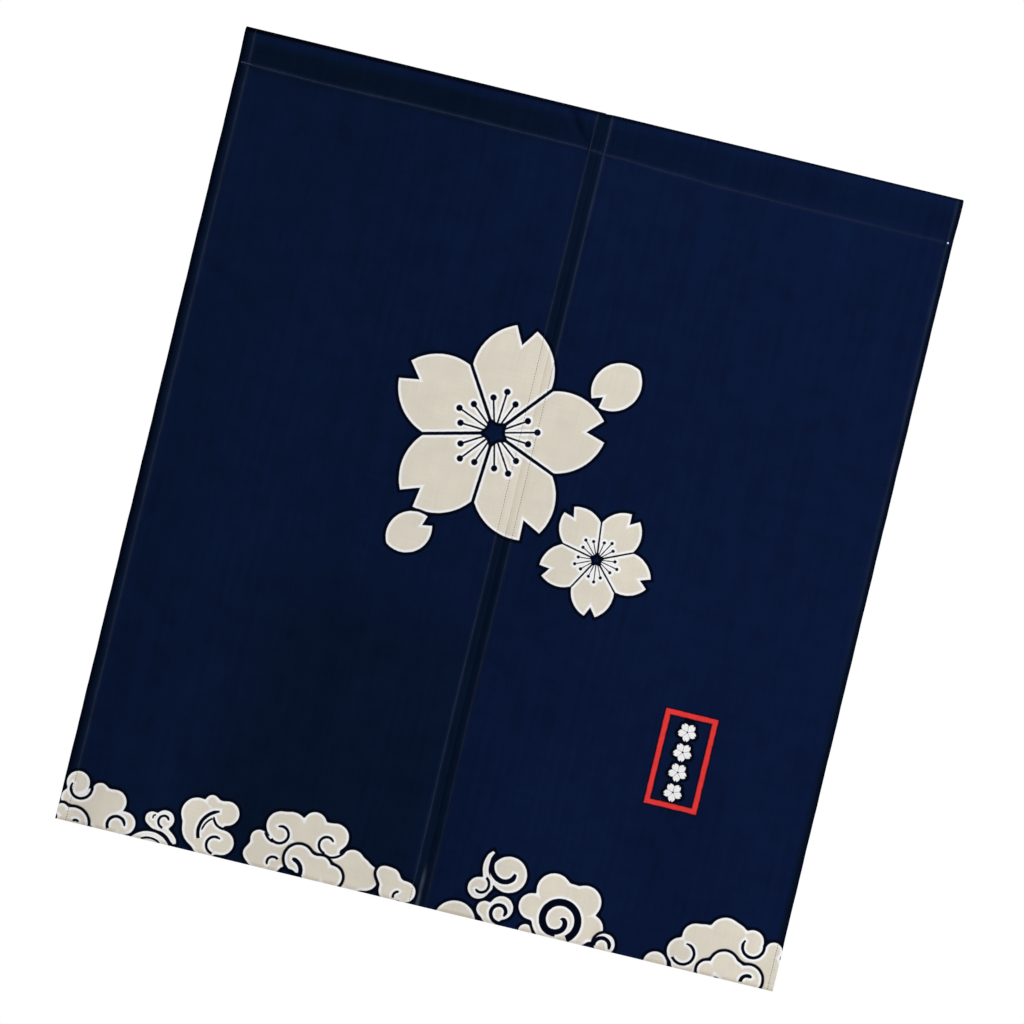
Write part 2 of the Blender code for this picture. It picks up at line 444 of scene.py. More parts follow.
def lay_out(side, hems, folds, columns, rows):
    """The outer face of a cloth at these columns and rows, and how thick it is. Its lay is x and
    the distance along the cloth from the top edge, below zero at the front. The last thing given
    is how far each place lies in from the side's stitches, from the slit's and from the heading's."""
    share, from_left, from_right = (values[None, :] for values in columns)
    row = rows[:, None]
    part = np.abs(row)

    # The drop of the stitches shifts each row a little, so x is found from a first guess at z
    z = np.where(row > 1, -DROP * (row - 1), 0.0) + 0.0 * share
    for _ in range(2):
        fallen = -z / DROP
        left, right = cloth_edges(z, side)
        x = mix(left, right, share)
        x = x + from_left * (1 + hems[0]["spread"] * fallen)
        x = x - from_right * (1 + hems[1]["spread"] * fallen)
        drop = heading_drop(x)
        z = np.where(row > 1, mix(-drop, -DROP - HEM_DOWN, part - 1), -drop * np.minimum(part, 1))

    # The hems are thicker, with a rounded fold at the edge and a dent along the stitches
    thickness = np.full_like(x, CLOTH_THICKNESS)
    inset = np.zeros_like(x)
    dent = np.zeros_like(x)
    for hem, place, ours in ((hems[0], from_left, share == 0), (hems[1], from_right, share == 1)):
        place, ours = place + 0.0 * x, ours & (x == x)
        thick = eased(1 - (place - hem["width"]) / HEM_STEP)
        thickness = np.where(ours, mix(CLOTH_THICKNESS, HEM_THICKNESS, thick), thickness)
        radius = HEM_THICKNESS / 2
        short = np.clip(radius - place, 0, radius)
        inset = np.where(ours, radius - np.sqrt(radius**2 - short**2), inset)
        away = (place - hem["stitches"]) / DENT_REACH
        dent = np.where(ours, DENT_DEPTH * np.exp(-(away**2)), dent)
    thickness = np.maximum(thickness - 2 * inset, THINNEST)

    # The pocket: a round top, then two walls that draw together to the stitches. At the slit the
    # left pocket is a little fuller, and the end of the right one lies inside it
    lap = LAP_LIFT * np.exp(-(((x - SLIT_X) / LAP_REACH) ** 2))
    radius = POCKET_DEPTH / 2 - POCKET_RIPPLE * np.sin(2 * math.pi * x / POCKET_RIPPLE_PITCH) ** 2
    nest = NEST_LIFT * np.exp(-(((x - SLIT_X) / NEST_REACH) ** 2))
    crown = radius + nest
    radius = radius - side * nest
    foot = thickness + 2 * inset + SEAM_PLAY + (1 - side) * lap
    turn = math.pi / 2 * np.clip(part / POCKET_ARC_SHARE, 0, 1)
    down_wall = np.clip((part - POCKET_ARC_SHARE) / (1 - POCKET_ARC_SHARE), 0, 1)
    arc = radius * np.sin(turn)
    wall = mix(foot, radius, (1 + np.cos(math.pi * down_wall)) / 2)
    half = np.where(part < POCKET_ARC_SHARE, arc, wall)
    wall_z = np.where(
        part < POCKET_ARC_SHARE, -crown + radius * np.cos(turn), mix(-crown, -drop, down_wall)
    )
    in_pocket = np.abs(row) <= 1
    wall_z = wall_z + (TOP_RISE - TOP_TILT * x) * (1 - np.minimum(part, 1))
    z = np.where(in_pocket, wall_z, z)
    slack = eased(np.minimum(down_wall, 1 - down_wall) * 3)
    half = half + slack * rumple(x, row + 0.0 * x, POCKET_HUMPS)
    crease = np.minimum(crease_depth(HEADING_CREASES, x, z), half)
    pocket_y = np.where(row < 0, half, -half + crease)

    # The turned end, which lies on the back of the hanging cloth just below the stitches
    past = np.clip(part - 1, 0, 1)
    turned_y = foot + TURNED_LIFT * past
    turned_z = -drop - SEAM_ALLOWANCE * past

    # The hanging cloth, drawn together at the seam and full below it
    below_seam = -z - drop
    gathered = 1 - eased(below_seam / SEAM_BLEND)
    pucker = np.exp(-below_seam / SEAM_HUMPS_FADE) * rumple(x, z, SEAM_HUMPS)
    broad = eased(below_seam / BROAD_HUMPS_FULL) * rumple(x, z, BROAD_HUMPS)
    small = eased(below_seam / SMALL_HUMPS_FULL) * rumple(x, z, SMALL_HUMPS)
    free_y = fold_depth(folds, x, z) + FACE_Y + broad + small + crease_depth(CREASES, x, z)
    hem_pull = np.zeros_like(x)
    for hem, edge, sign in ((hems[0], left, 1), (hems[1], right, -1)):
        inside = np.abs((x - edge) * sign - hem["stitches"]) / HEM_HUMPS_REACH
        hem_pull += np.exp(-(inside**2)) * rumple(x, z, HEM_HUMPS)
    lapped_y = free_y + side * lap + hem_pull * eased(below_seam / HEM_HUMPS_FULL)
    hanging_y = mix(lapped_y, -foot, gathered) + pucker

    y = np.where(row > 1, hanging_y, np.where(row < -1, turned_y, pocket_y))
    z = np.where(row < -1, turned_z, z)
    outward = np.where(row < 0, 1.0, -1.0)
    y = y - outward * (inset + dent)
    path = np.where(row > 1, z, -drop * row)
    path = np.where(row < -1, drop + SEAM_ALLOWANCE * past, path)
    lay = np.stack([x, path + 0.0 * x, 0.0 * x], axis=-1)
    side_hem, slit_hem = hems if side < 0 else hems[::-1]
    slit_x = right if side < 0 else left
    side_x = left if side < 0 else right
    from_side = np.abs(x - side_x) - side_hem["stitches"]
    from_slit = np.abs(x - slit_x) / (1 + slit_hem["spread"] * fallen) - slit_hem["stitches"]
    sewn = np.stack([from_side, from_slit, np.abs(path) - drop], axis=-1)

    # Where a fold stands back its hem and side hang out by as much as keeps the outline straight
    hanging_share = np.where(row > 1, eased(below_seam / OUTLINE_KEPT_FROM), 0.0)
    spread_out = 1 + y / CAMERA_AWAY * hanging_share
    points = np.stack([x * spread_out, y, MIDDLE.z + (z - MIDDLE.z) * spread_out], axis=-1)
    return points, thickness, lay, sewn


def sheet_mesh(name, side, hems, folds, face_slot):
    """One cloth: its outer face as a grid, thickened to the inside, more so at its hems."""
    columns, rows = cloth_columns(hems), cloth_rows()
    points, thickness, lay, sewn = lay_out(side, hems, folds, columns, rows)
    down, across = thickness.shape
    index = np.arange(down * across).reshape(down, across)
    upper, lower = index[:-1], index[1:]
    quads = np.stack([upper[:, :-1], lower[:, :-1], lower[:, 1:], upper[:, 1:]], axis=-1)
    quads = quads.reshape(-1, 4)
    mesh = bpy.data.meshes.new(name)
    mesh.from_pydata(points.reshape(-1, 3).tolist(), [], quads.tolist())
    for title, values in (("lay", lay), ("sewn", sewn)):
        attribute = mesh.attributes.new(title, "FLOAT_VECTOR", "POINT")
        attribute.data.foreach_set("vector", values.astype(np.float32).ravel())
    centres = lay.reshape(-1, 3)[quads].mean(axis=1)
    slots = np.array([face_slot(x, path) for x, path, _ in centres], dtype=np.int32)
    mesh.polygons.foreach_set("material_index", slots)
    cloth = bpy.data.objects.new(name, mesh)
    bpy.context.scene.collection.objects.link(cloth)

    layers = cloth.vertex_groups.new(name="layers")
    for vertex, share in enumerate((thickness / HEM_THICKNESS).ravel()):
        layers.add([vertex], float(share), "REPLACE")
    body = cloth.modifiers.new("layers of cloth", "SOLIDIFY")
    body.thickness = HEM_THICKNESS
    body.offset = -1.0
    body.use_quality_normals = True
    body.vertex_group = layers.name
    bpy.ops.object.select_all(action="DESELECT")
    bpy.context.view_layer.objects.active = cloth
    bpy.ops.object.modifier_apply(modifier=body.name)
    cloth.vertex_groups.clear()

    # The third number of the lay says which face of the cloth a point is on: 0 out, 1 in
    values = np.zeros(len(cloth.data.vertices) * 3, np.float32)
    attribute = cloth.data.attributes["lay"]
    attribute.data.foreach_get("vector", values)
    values[down * across * 3 + 2 :: 3] = 1.0
    attribute.data.foreach_set("vector", values)
    cloth.data.shade_smooth()
    cloth.data.set_sharp_from_angle(angle=SHARP_ANGLE)
    return cloth


# Where the prints lie on the cloth, so that each has a material of its own
BORDER_HEIGHT = 0.086
BLOSSOM_BOX = ((-0.175, -0.565), (0.180, -0.222))
FRAME_BOX = ((0.212, -0.742), (0.290, -0.612))


def within(box, x, path):
    """Whether a place on the cloth lies in this box."""
    (low_x, low), (high_x, high) = box
    return low_x < x < high_x and low < path < high


def print_slot(x, path):
    """Which material the cloth has at this place."""
    if path < BORDER_HEIGHT - DROP:
        return 1
    if within(BLOSSOM_BOX, x, path):
        return 2
    if within(FRAME_BOX, x, path):
        return 3
    return 0


LEFT_CLOTH = {"side": -1, "hems": (LEFT_SIDE_HEM, SLIT_HEM), "folds": LEFT_FOLDS}
RIGHT_CLOTH = {"side": 1, "hems": (SLIT_HEM, RIGHT_SIDE_HEM), "folds": RIGHT_FOLDS}
cloth_left = sheet_mesh("cloth_left", face_slot=print_slot, **LEFT_CLOTH)
cloth_right = sheet_mesh("cloth_right", face_slot=print_slot, **RIGHT_CLOTH)

# The dyed cotton: a plain weave of navy threads, a little uneven from thread to thread, darker over
# the hems, with painted shade and painted highlights laid into its colour in places. What the
# printer left bare is ecru, and the backs are a little paler.
# Painted light: the right navy is brighter, because the key lamp lights the right side more
LEFT_NAVY = (0.0021, 0.0071, 0.0292, 1.0)
RIGHT_NAVY_PAINTED_LIT = (0.0023, 0.0075, 0.0345, 1.0)
# Darker navy for the hems, and painted shade for the heading's lower half and a low fold on the left
# cloth
HEM_AND_SHADE_NAVY = (0.0015, 0.0056, 0.0172, 1.0)
# Painted shade for the folded side edges and the top of the pocket
EDGE_SHADE_NAVY = (0.0002, 0.0016, 0.0070, 1.0)
TOP_SHADE_NAVY = (0.0001, 0.0003, 0.0020, 1.0)
# Painted highlight on the puckered ridges along the stitches
STITCH_RIDGE_HIGHLIGHT = (0.0078, 0.0132, 0.0375, 1.0)
# A pale band along the slit edges at the foot of the slit
PALE_SLIT_FOOT = (0.046, 0.061, 0.086, 1.0)
OUTLINE = (0.0004, 0.0013, 0.0060, 1.0)
ECRU = (0.655, 0.610, 0.520, 1.0)
BARE_RIM = (0.82, 0.82, 0.84, 1.0)
# The ecru darker and browner in the lowest few millimetres above the bottom edge
BOTTOM_DARK_ECRU = (0.40, 0.34, 0.27, 1.0)
RED = (0.70, 0.037, 0.037, 1.0)
BACK_PALE = (0.030, 0.042, 0.075, 1.0)
THREAD_PITCH = 0.0007
THREAD_DRIFT = 0.0006
# The unevenness of the threads repeats this often in a metre, across and along them
ACROSS_THREAD = 1100
ALONG_THREAD = 16
STREAKS = (150, 3.5, 0)
# How often larger unevenness repeats in a metre
DRIFTS = 160.0
PATCHES = 5.0
MOTTLES = 38.0
WANDERS = 210.0
# How much each sort of unevenness tells in the tone of the dyed cloth, and in the bare cloth
DYED_TONE = {
    "warp": 0.45, "weft": 0.35, "streak": 0.36, "patch": 0.40, "crossing": 0.05, "mottle": 0.55
}
BARE_TONE = {"warp": 0.12, "weft": 0.12, "mottle": 0.16, "crossing": 0.03}
# The darker bands over the hems, and the painted shade on the heading's lower half, where the pocket
# faces down, and in a fold low on the left cloth beside the slit: how strong each is, how far it
# reaches and how soft it ends. The pairs of values are where a band starts and where it is full, in
# x or in path
HEM_SHADE = 0.85
HEM_BAND = 0.0014
HEM_SOFTNESS = 0.0012
HEADING_SHADE = 0.95
HEADING_FROM = (-0.014, -0.022)
HEADING_FOOT = 0.045
HEADING_SOFTNESS = 0.008
HEADING_RIGHT = 0.35
HEADING_LEFTWARD = (0.15, -0.20)
LOW_SHADE = 0.70
LOW_FROM = (-0.53, -0.64)
LOW_RIGHTWARD = (-0.33, -0.20)
LOW_TO_SLIT = (0.004, -0.02)
HEM_AND_SHADE_MOTTLE = 0.55
# Painted shade: near-black bands along the folded side edges and along the top of the pocket, less
# dark towards the right, where the key lamp stands
EDGE_SHADE = 0.95
EDGE_BAND = 0.0052
EDGE_BAND_FALL = 0.0036
EDGE_SOFTNESS = 0.0045
TOP_MIDDLE = 0.0038
TOP_BAND = 0.0058
TOP_SOFTNESS = 0.0030
TOP_SHADE = 0.70
TOP_SHADE_FALL = 0.6
# Painted highlights: pale bands along the stitches, where the puckered ridges catch the light: half
# width, strength and where they fade. Then a pale band along the slit edges at the foot of the slit
SIDE_HIGHLIGHT_REACH = 0.0037
SIDE_HIGHLIGHT = 0.85
RIGHT_HALF = (-0.1, 0.1)
RIGHT_HIGHLIGHT_FADES = (-0.35, -0.62)
SLIT_HIGHLIGHT_REACH = 0.0034
SLIT_HIGHLIGHT = 0.55
RIGHT_OF_SLIT = (0.0, 0.008)
SLIT_HIGHLIGHT_RISES = (-0.5, -0.1)
SLIT_HIGHLIGHT_MORE = 0.35
HEADING_HIGHLIGHT_REACH = 0.0036
HEADING_HIGHLIGHT = 0.66
HEADING_HIGHLIGHT_FALL = 0.5
PALE_FOOT_IN = 0.0068
PALE_FOOT_SOFTNESS = 0.0022
PALE_FOOT_FROM = (-0.850, -0.880)
PALE_FOOT_SHARE = 0.8
# The print: how soft and how uneven its edges are, and how much the backs lose of each colour
INK_WANDER = 0.0006
INK_SHARE = 0.95
BOTTOM_DARK_HEIGHT = 0.0040
BOTTOM_DARK_SHARE = 0.5
BACK_DYE_LOSS = 0.16
BACK_BARE_LOSS = 0.22
BACK_RED_LOSS = 0.3
PRINT_SOFTNESS = 0.0006
OUTLINE_WIDTH = 0.0036
RIM_WIDTH = 0.0026
RIM_SOFTNESS = 0.0018
# The relief of the weave in the light
CROSSING_RELIEF = 0.6
THREAD_RELIEF = 0.35
RELIEF_STRENGTH = 0.55
RELIEF_DEPTH = 0.00022
ROUGHNESS = 0.86
ROUGHNESS_PLAY = 0.08
COTTON_GLOSS = 0.02


class Print:
    """The shapes printed on a cloth so far: where it is bare, where its rim is, and where the
    near-black outline lies. Each new shape is painted over those before it."""

    def __init__(self):
        self.bare = self.rim = self.outline = None

    def paint(self, shape, lines=None):
        """Adds a shape, by its distance, with dark lines in it."""
        inner = shape if lines is None else shape.most(-lines)
        bare = inner.inside(PRINT_SOFTNESS)
        rim = bare * (-inner - RIM_WIDTH).inside(RIM_SOFTNESS)
        outline = (shape - OUTLINE_WIDTH).inside(PRINT_SOFTNESS * 2)
        if self.bare is None:
            self.bare, self.rim, self.outline = bare, rim, outline
            return
        clear = 1 - outline
        self.bare = self.bare * clear + bare
        self.rim = self.rim * clear + rim
        self.outline = self.outline.most(outline)


def toned(grain, shares):
    """How much lighter or darker than its dye each place is, about 1."""
    tone = 1
    for name, share in shares.items():
        tone = tone + grain[name] * share
    return tone


def cotton(name, design=None):
    """A material for the cloth. design paints a Print, given the place on the cloth and how far
    the ink wanders there, and may give a mask of red ink."""
    material = bpy.data.materials.new(name)
    material.use_nodes = True
    tree = material.node_tree
    tree.nodes.clear()
    lay = Dye(tree).node("ShaderNodeAttribute", {"attribute_name": "lay"}, output=1)
    x, path, back = lay.parts()
    place = lay.stretched((1, 1, 0))

    # The threads. Where the product is above zero the upright thread lies on top
    drift = place.cloudy(DRIFTS, 1.0) * THREAD_DRIFT
    upright = ((x + drift) * (math.pi / THREAD_PITCH)).maths_of("SINE")
    level = ((path + drift) * (math.pi / THREAD_PITCH)).maths_of("SINE")
    crossing = upright * level
    warp = place.stretched((ACROSS_THREAD, ALONG_THREAD, 0)).cloudy(1.0, 1.0)
    weft = place.stretched((ALONG_THREAD, ACROSS_THREAD, 0)).cloudy(1.0, 1.0)
    mottle = place.cloudy(MOTTLES, 3.0)
    grain = {
        "warp": warp,
        "weft": weft,
        "streak": place.stretched(STREAKS).cloudy(1.0, 2.0),
        "patch": place.cloudy(PATCHES, 2.0),
        "crossing": crossing,
        "mottle": mottle,
    }

    # The darker hems, the painted shade along the folded edges, the top and under the pocket, and the
    # painted highlights along the stitches
    sewn = Dye(tree).node("ShaderNodeAttribute", {"attribute_name": "sewn"}, output=1)
    from_side, from_slit, from_heading = sewn.parts()
    hem = (from_side.least(from_slit) - HEM_BAND).inside(HEM_SOFTNESS)
    # Painted shade: near-black along the side edges and the pocket's top, less so towards the lit
    # right
    edge = (from_side + EDGE_BAND - x * EDGE_BAND_FALL).inside(EDGE_SOFTNESS)
    painted_top_shade = (abs(path + TOP_MIDDLE) - TOP_BAND).inside(TOP_SOFTNESS)
    painted_top_shade = painted_top_shade * (TOP_SHADE - x * TOP_SHADE_FALL)
    heading = path.eased(*HEADING_FROM) * (-HEADING_FOOT - path).inside(HEADING_SOFTNESS)
    heading = heading * (HEADING_RIGHT + x.eased(*HEADING_LEFTWARD) * (1 - HEADING_RIGHT))
    low = path.eased(*LOW_FROM) * x.eased(*LOW_RIGHTWARD) * x.eased(*LOW_TO_SLIT)
    # Darker over the hems; painted shade where the heading's pocket faces down and in a low fold left
    # of the slit
    hem_and_shade = (hem * HEM_SHADE).most(heading * HEADING_SHADE).most(low * LOW_SHADE)
    hem_and_shade = (hem_and_shade + mottle * HEM_AND_SHADE_MOTTLE).most(0.0).least(1.0)
    # Painted highlights along the stitches of the sides, the slit and the heading, where the ridges
    # catch the light
    right_fade = x.eased(*RIGHT_HALF) * path.eased(*RIGHT_HIGHLIGHT_FADES)
    at_side = abs(from_side).eased(SIDE_HIGHLIGHT_REACH, 0.0) * (1 - right_fade)
    slit_rise = x.eased(*RIGHT_OF_SLIT) * path.eased(*SLIT_HIGHLIGHT_RISES) * SLIT_HIGHLIGHT_MORE
    at_slit = abs(from_slit).eased(SLIT_HIGHLIGHT_REACH, 0.0) * (SLIT_HIGHLIGHT + slit_rise)
    at_heading = abs(from_heading).eased(HEADING_HIGHLIGHT_REACH, 0.0)
    at_heading = at_heading * (HEADING_HIGHLIGHT - x * HEADING_HIGHLIGHT_FALL)
    ridge_highlight = (at_side * SIDE_HIGHLIGHT).most(at_slit).most(at_heading) * (1 + mottle)
    # The pale band along the slit edges, in the lowest few centimetres of the slit
    pale_foot = (from_slit + PALE_FOOT_IN).inside(PALE_FOOT_SOFTNESS) * path.eased(*PALE_FOOT_FROM)
    pale_foot = pale_foot * (PALE_FOOT_SHARE + mottle * 2)
    navy = Dye(tree).node("ShaderNodeRGB")
    navy.socket.default_value = LEFT_NAVY
    # Painted light: the navy brightens from the left edge to the right one, towards the key lamp
    navy = navy.toward(RIGHT_NAVY_PAINTED_LIT, x.eased(LEFT_EDGE, RIGHT_EDGE)).toward(HEM_AND_SHADE_NAVY, hem_and_shade)
    colour = navy.toward(STITCH_RIDGE_HIGHLIGHT, ridge_highlight).toward(EDGE_SHADE_NAVY, edge * EDGE_SHADE)
    colour = colour.toward(TOP_SHADE_NAVY, painted_top_shade).scaled(toned(grain, DYED_TONE)).toward(PALE_SLIT_FOOT, pale_foot)
    colour = colour.toward(BACK_PALE, back * BACK_DYE_LOSS)

    if design:
        made = Print()
        red = design(made, place, place.cloudy(WANDERS, 2.0) * INK_WANDER)
        if made.bare:
            ink = Dye(tree).node("ShaderNodeRGB")
            ink.socket.default_value = ECRU
            bare = ink.toward(BARE_RIM, made.rim)
            # The bare cloth darker and browner towards the bottom edge
            bare = bare.toward(BOTTOM_DARK_ECRU, path.eased(BOTTOM_DARK_HEIGHT - DROP, -DROP) * BOTTOM_DARK_SHARE)
            bare = bare.scaled(toned(grain, BARE_TONE))
            colour = colour.toward(OUTLINE, made.outline * INK_SHARE)
            colour = colour.toward(bare, made.bare * (1 - back * BACK_BARE_LOSS))
        if red:
            colour = colour.toward(RED, red * (1 - back * BACK_RED_LOSS))

    height = abs(crossing) * CROSSING_RELIEF + warp * THREAD_RELIEF + weft * THREAD_RELIEF
    sockets = {"Height": height, "Strength": RELIEF_STRENGTH, "Distance": RELIEF_DEPTH}
    finish = {
        "Base Color": colour,
        "Roughness": ROUGHNESS + warp * ROUGHNESS_PLAY,
        "Specular IOR Level": COTTON_GLOSS,
        "Normal": Dye(tree).node("ShaderNodeBump", None, sockets),
    }
    shader = Dye(tree).node("ShaderNodeBsdfPrincipled", None, finish)
    Dye(tree).node("ShaderNodeOutputMaterial", None, {"Surface": shader})
    return material


# The cloud border along the hem: clouds built of round lobes, with spiral curls drawn in them, in
# the manner of old brocades. Sizes are in millimetres: x from the middle, height above the hem.
# Angles are in degrees, counter-clockwise, and a curl tapers towards its end.
MM = 0.001
LOBE_COLUMNS = ("x", "height", "radius")
CURL_COLUMNS = ("x", "height", "start", "sweep", "from_radius", "to_radius", "width")
LEFT_CLOUDS = (
    {
        "lobes": ((-393, 43.5, 12.7), (-397, 25, 11), (-384, 24, 10), (-367, 40.5, 8.5),
                  (-358, 35, 9.5), (-349, 32, 13.2), (-333.5, 11.5, 12.6), (-364, 20, 20),
                  (-352, 8, 16), (-374, 33, 8)),
        "curls": ((-389.4, 38.4, 24, -225, 13.3, 9.9, 3.4), (-341.5, 7.5, 215, -210, 10, 9.3, 3.6)),
    },
    {
        "lobes": ((-389.5, -2, 17.5), (-404, 10, 7)),
        "curls": ((-386, -1, 150, -120, 3.5, 3.5, 3),),
    },
    {
        "lobes": ((-304, 24, 7.7), (-290, 26.3, 10), (-298.5, 20.5, 7.5)),
        "tails": ((-300, -10, 85, -60, 26.5, 29, 6),),
        "curls": ((-290, 24.5, 265, -245, 8, 4.5, 3), (-301, 26, 90, 130, 2.8, 2.5, 2)),
    },
    {"lobes": ((-301, -17, 26.5),), "curls": ((-301, -17, 122, -66, 19.5, 19.5, 2.6),)},
    {
        "lobes": ((-257, 41, 17.5), (-248, 26, 22), (-240, 12, 16), (-243.5, 57.5, 7.5),
                  (-236, 52, 9), (-224.7, 48.7, 13.4), (-223.5, 15.8, 13.6), (-237, 40, 13),
                  (-237, 20, 14)),
        "curls": ((-227.5, 24, 203, -100, 24, 25.5, 4), (-225.5, 44, 305, -115, 12.8, 12.8, 3),
                  (-227.5, 22.5, 124, 50, 20.6, 20.6, 2.2), (-230, 12, 265, -205, 10.3, 8.3, 3.2)),
    },
    {
        "lobes": ((-163.5, 49.5, 16), (-152, 51, 16.5), (-127.5, 60.5, 12.8), (-112, 54, 11),
                  (-102, 51.5, 14.8), (-104, 36, 10), (-127, 42, 22), (-184, 30.5, 9.4),
                  (-190, 12, 7.5), (-178, 14, 17.5), (-164, 6, 10), (-77.5, 29.5, 13),
                  (-67, 26, 10), (-60, 16, 15), (-73, 13, 16), (-90, 16, 18), (-160, 22, 18)),
        "curls": ((-162.5, 40.8, 188, 60, 16.2, 11.4, 3), (-162.5, 40.8, 222, 255, 11.3, 8, 3.3),
                  (-108.7, 41.7, -3, -105, 21.3, 10.3, 3), (-108.7, 41.7, -95, -232, 10.6, 6.8, 3.2),
                  (-163.5, 7.5, 45, 165, 7, 6, 3)),
    },
    {
        "lobes": ((-136, 18.5, 15.4), (-121, 14, 12.5), (-110.5, 16.5, 10.6), (-97, 7.5, 12.4),
                  (-117, 7, 13)),
        "curls": ((-144, 4, -12, 98, 13.2, 13.2, 5), (-143, -6, 165, -150, 9, 9, 5)),
    },
    {
        "lobes": ((-40, 25, 8.5), (-33, 21, 12), (-23, 12, 11.5), (-13, 10.5, 11.5), (-30, 8, 12)),
        "curls": ((-19.5, 3.5, 205, -115, 5.5, 5.5, 3),),
    },
)
RIGHT_CLOUDS = (
    {"lobes": ((47.5, -8.5, 23.2),)},
    {
        "lobes": ((95, 18.5, 12.8), (77, 13, 8.8), (86, 8, 11)),
        "curls": ((94.5, 13, 286, -319, 12, 5.5, 4.4),),
    },
    {
        "lobes": ((94.5, 56, 20), (65.2, 34.2, 11.9), (75.5, 37.5, 4.5)),
        "tails": ((93, 61, 238, -96, 25.8, 25.2, 6),),
        "curls": ((93, 61, 136, 206, 21.8, 8.8, 6), (66, 37, 64, -192, 11.4, 6, 3.3)),
    },
    {"lobes": ((126.5, -0.5, 7.8),)},
    {
        "lobes": ((147.3, 50.5, 19.2), (167, 50, 12.5), (183.3, 46.3, 18.2), (127.5, 28, 14.6),
                  (195, 19.5, 14.9), (186, 8, 10), (160.5, 22, 31)),
        "curls": ((159.8, 20.3, -56, 325, 22.4, 16.8, 8.2), (159.8, 20.3, 212, 200, 18, 2.6, 6.6)),
    },
    {
        "lobes": ((215, 6, 11.6),),
        "curls": ((212.5, 3.5, 192, -205, 9, 8.6, 4.5),),
    },
    {"lobes": ((274.5, -1.5, 13.2),)},
    {
        "lobes": ((299, 18.5, 15), (312, 37.5, 15), (322, 42, 12), (343, 48.3, 18.2),
                  (354, 48, 14.5), (374, 47.5, 12.5), (382, 34, 10), (399.5, 42.5, 9.5),
                  (395, 24, 17), (330, 25, 22), (362, 28, 20), (306, 6, 14), (402, 8, 14)),
        "curls": ((303, 17.5, 212, 235, 13.6, 10.4, 3.4), (375.6, 41.7, 22, -232, 13.2, 10.6, 3.6)),
    },
    {
        "lobes": ((332, 4.5, 10.5), (349.5, 14.5, 15), (363, 12, 9.5), (378.5, 5.5, 15.2),
                  (360, 2, 12)),
        "curls": ((378.5, 2, 188, -130, 7.4, 7.2, 4.2),),
    },
)
TAPER = 4.0
CURL_END = 0.55
LOBE_BLEND = 0.0050
TAIL_BLEND = 0.0060


def lobes_of(place, table):
    """The distance to a group of round lobes."""
    shape = None
    for row in table:
        lobe = dict(zip(LOBE_COLUMNS, row))
        centre = (lobe["x"] * MM, lobe["height"] * MM - DROP, 0.0)
        away = place.distance(centre) - lobe["radius"] * MM
        shape = away if shape is None else shape.blended(away, LOBE_BLEND)
    return shape


def curl_of(place, row):
    """The distance to one spiral line, which thins out at its end."""
    curl = dict(zip(CURL_COLUMNS, row))
    centre = (-curl["x"] * MM, DROP - curl["height"] * MM, 0.0)
    offset = place.node("ShaderNodeVectorMath", {"operation": "ADD"}, {0: place, 1: centre})
    x, y, _ = offset.parts()
    angle = x.maths("ARCTAN2", y, x)
    way = 1.0 if curl["sweep"] > 0 else -1.0
    gone = angle * way - way * math.radians(curl["start"])
    share = gone.maths("WRAP", gone, 2 * math.pi, 0.0) / abs(math.radians(curl["sweep"]))
    radius = curl["from_radius"] * MM + share * ((curl["to_radius"] - curl["from_radius"]) * MM)
    half = (TAPER - share * (TAPER - CURL_END)).least(1.0) * (curl["width"] * MM / 2)
    past_end = (share - 1) * (abs(math.radians(curl["sweep"])) * curl["to_radius"] * MM)
    return (abs(offset.distance((0, 0, 0)) - radius) - half).most(past_end)


def cloud_border(clouds):
    """A design that paints these clouds, each over those before it."""

    def design(made, place, wander):
        for cloud in clouds:
            shape = lobes_of(place, cloud["lobes"]) + wander
            for row in cloud.get("tails", ()):
                shape = shape.blended(curl_of(place, row), TAIL_BLEND)
            lines = None
            for row in cloud.get("curls", ()):
                line = curl_of(place, row) + wander
                lines = line if lines is None else lines.least(line)
            made.paint(shape, lines)

    return design


# The large print over the slit: an open cherry blossom with a smaller one beside it and two loose
# petals. A petal is where two discs overlap, with a notch cut in its tip. All its sizes are
# shares of the blossom's radius.
BLOSSOM_COLUMNS = ("x", "z", "radius", "turn")
LARGE_BLOSSOM = (-0.036, -0.372, 0.119, 14)
SMALL_BLOSSOM = (0.107, -0.482, 0.062, -12)
LOOSE_PETAL_COLUMNS = ("x", "z", "length", "turn")
LOOSE_PETALS = ((0.108, -0.262, 0.066, 230), (-0.128, -0.522, 0.058, 40))
PETALS = 5
PETAL_MIDDLE = 0.575
PETAL_ARC = 0.490
PETAL_SIDE = 0.108
PETAL_GAP = 0.016
NOTCH_FOOT = 0.855
NOTCH_ANGLE = math.radians(31)
EYE = 0.095
STAMENS = ((0.0, 0.40), (19.0, 0.33))
STAMEN_WIDTH = 0.018
ANTHER = 0.030


def petal_at(along, across, size):
    """The distance to a petal whose foot is at the origin, from the place along and across it."""
    arc = across.node("ShaderNodeCombineXYZ", None, {0: along, 1: across})
    side = arc.distance((PETAL_MIDDLE * size, -PETAL_SIDE * size, 0)) - PETAL_ARC * size
    notch = (along - NOTCH_FOOT * size) * math.sin(NOTCH_ANGLE) - across * math.cos(NOTCH_ANGLE)
    return side.most(notch)


def turned(place, x, z, turn):
    """The place as seen from a centre, turned by this many degrees."""
    sockets = {
        "Vector": place,
        "Location": (x, z, 0),
        "Rotation": (0, 0, math.radians(turn)),
    }
    return place.node("ShaderNodeMapping", {"vector_type": "TEXTURE"}, sockets)


